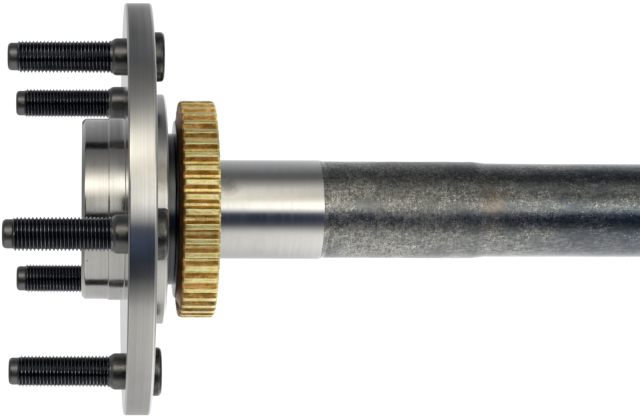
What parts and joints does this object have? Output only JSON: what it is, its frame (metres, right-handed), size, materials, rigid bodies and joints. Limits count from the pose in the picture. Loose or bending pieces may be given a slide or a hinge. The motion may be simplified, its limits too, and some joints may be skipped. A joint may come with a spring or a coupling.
{
  "type": "axle shaft",
  "caption": "Flanged rear axle shaft with pressed-in wheel studs, a stepped pilot, a toothed tone ring, a ground bearing journal and a splined inner end.",
  "frame": {"origin": "centre of the flange's wheel face, where the wheel or rotor seats", "axes": "+Z along the shaft towards its splined inner end, so the studs point to -Z; the part stands on the ends of its studs"},
  "size_m": [0.1761, 0.1762, 0.9143],
  "materials": {
    "forged_steel": "turned and ground steel at the wheel end, dark rough forging scale along the bar",
    "yellow_zinc": "yellow zinc plating over a matt, slightly rough ring",
    "black_oxide": "oiled black oxide"
  },
  "bodies": {
    "root": {"axle_shaft": "forged_steel", "tone_ring": "yellow_zinc", "wheel_stud_1": "black_oxide", "wheel_stud_2": "black_oxide", "wheel_stud_3": "black_oxide", "wheel_stud_4": "black_oxide", "wheel_stud_5": "black_oxide"}
  },
  "joints": []
}
